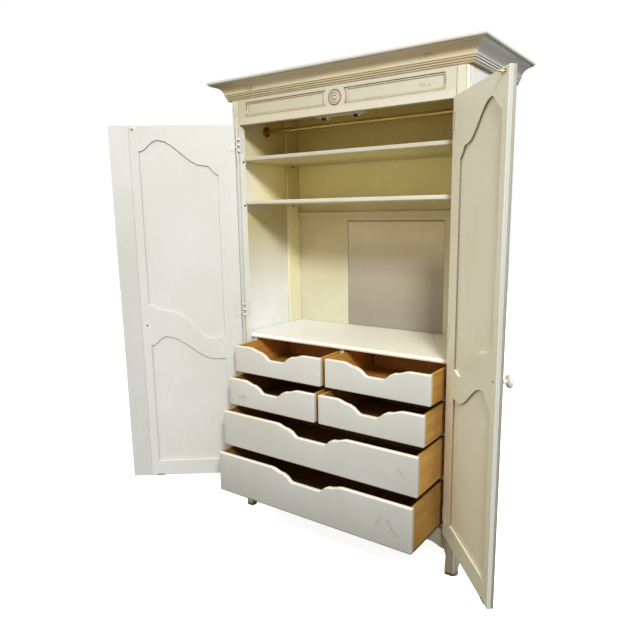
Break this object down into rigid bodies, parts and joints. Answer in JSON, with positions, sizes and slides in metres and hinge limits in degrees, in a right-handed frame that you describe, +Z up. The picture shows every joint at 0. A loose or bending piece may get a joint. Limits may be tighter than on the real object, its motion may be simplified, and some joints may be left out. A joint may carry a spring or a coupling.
{
  "type": "armoire",
  "caption": "Tall painted armoire with a coved crown, panelled doors standing open, shelves and a hanging rod above, and scalloped drawers partly drawn below.",
  "frame": {"origin": "middle of the footprint of the whole piece at floor level, with both doors standing open and the drawers partly drawn", "axes": "+Z up, -Y out of the front, +X to the viewer's right"},
  "size_m": [1.9204, 0.9048, 2.13],
  "materials": {
    "cream_paint": "cream paint, lightly worn at the edges",
    "inner_paint": "thin cream wash over wood",
    "drawer_front_paint": "pale grey-cream paint",
    "drawer_wood": "clear satin over honey-coloured wood",
    "grey_board": "matt grey-brown board",
    "brass_tube": "polished, aged",
    "painted_metal": "cream paint over steel"
  },
  "bodies": {
    "cabinet": {"left_side_panel": "cream_paint", "right_side_panel": "cream_paint", "left_front_post": "cream_paint", "right_front_post": "cream_paint", "left_rear_post": "cream_paint", "right_rear_post": "cream_paint", "back_panel": "inner_paint", "rear_access_panel": "grey_board", "top_panel": "inner_paint", "crown_moulding": "cream_paint", "frieze_rail": "cream_paint", "upper_shelf": "inner_paint", "lower_shelf": "inner_paint", "deck_panel": "inner_paint", "upper_divider": "cream_paint", "lower_divider": "cream_paint", "drawer_frame_1": "cream_paint", "drawer_frame_2": "cream_paint", "drawer_frame_3": "cream_paint", "left_bay_side": "drawer_wood", "right_bay_side": "drawer_wood", "bottom_panel": "cream_paint", "front_apron": "cream_paint", "closet_rod": "brass_tube", "left_rod_socket": "brass_tube", "right_rod_socket": "brass_tube", "back_cleat": "inner_paint", "left_upper_hinge_post_half": "painted_metal", "left_middle_hinge_post_half": "painted_metal", "left_lower_hinge_post_half": "painted_metal", "right_upper_hinge_post_half": "painted_metal", "right_middle_hinge_post_half": "painted_metal", "right_lower_hinge_post_half": "painted_metal"},
    "left_door": {"left_door_frame": "cream_paint", "left_upper_panel": "cream_paint", "left_lower_panel": "cream_paint", "centre_stile": "cream_paint", "left_knob": "painted_metal", "left_upper_hinge_door_half": "painted_metal", "left_middle_hinge_door_half": "painted_metal", "left_lower_hinge_door_half": "painted_metal"},
    "right_door": {"right_door_frame": "cream_paint", "right_upper_panel": "cream_paint", "right_lower_panel": "cream_paint", "right_knob": "painted_metal", "right_upper_hinge_door_half": "painted_metal", "right_middle_hinge_door_half": "painted_metal", "right_lower_hinge_door_half": "painted_metal"},
    "drawer_1": {"drawer_1_front": "drawer_front_paint", "drawer_1_box": "drawer_wood"},
    "drawer_2": {"drawer_2_front": "drawer_front_paint", "drawer_2_box": "drawer_wood"},
    "drawer_3": {"drawer_3_front": "drawer_front_paint", "drawer_3_box": "drawer_wood"},
    "drawer_4": {"drawer_4_front": "drawer_front_paint", "drawer_4_box": "drawer_wood"},
    "drawer_5": {"drawer_5_front": "drawer_front_paint", "drawer_5_box": "drawer_wood"},
    "drawer_6": {"drawer_6_front": "drawer_front_paint", "drawer_6_box": "drawer_wood"}
  },
  "joints": [
    {"name": "left_door_hinge", "type": "hinge", "parent": "cabinet", "child": "left_door", "pos_m": [-0.49187, -0.07038, 1.06], "axis": [0, 0, -1], "range_deg": [-54, 33]},
    {"name": "right_door_hinge", "type": "hinge", "parent": "cabinet", "child": "right_door", "pos_m": [0.60113, -0.07038, 1.06], "axis": [0, 0, 1], "range_deg": [-43.1, 43.9]},
    {"name": "drawer_1_slide", "type": "slide", "parent": "cabinet", "child": "drawer_1", "axis": [0, -1, 0], "range_m": [-0.1656, 0.1744]},
    {"name": "drawer_2_slide", "type": "slide", "parent": "cabinet", "child": "drawer_2", "axis": [0, -1, 0], "range_m": [-0.1578, 0.1822]},
    {"name": "drawer_3_slide", "type": "slide", "parent": "cabinet", "child": "drawer_3", "axis": [0, -1, 0], "range_m": [-0.2139, 0.1261]},
    {"name": "drawer_4_slide", "type": "slide", "parent": "cabinet", "child": "drawer_4", "axis": [0, -1, 0], "range_m": [-0.2116, 0.1284]},
    {"name": "drawer_5_slide", "type": "slide", "parent": "cabinet", "child": "drawer_5", "axis": [0, -1, 0], "range_m": [-0.2625, 0.0775]},
    {"name": "drawer_6_slide", "type": "slide", "parent": "cabinet", "child": "drawer_6", "axis": [0, -1, 0], "range_m": [-0.3039, 0.0361]}
  ]
}
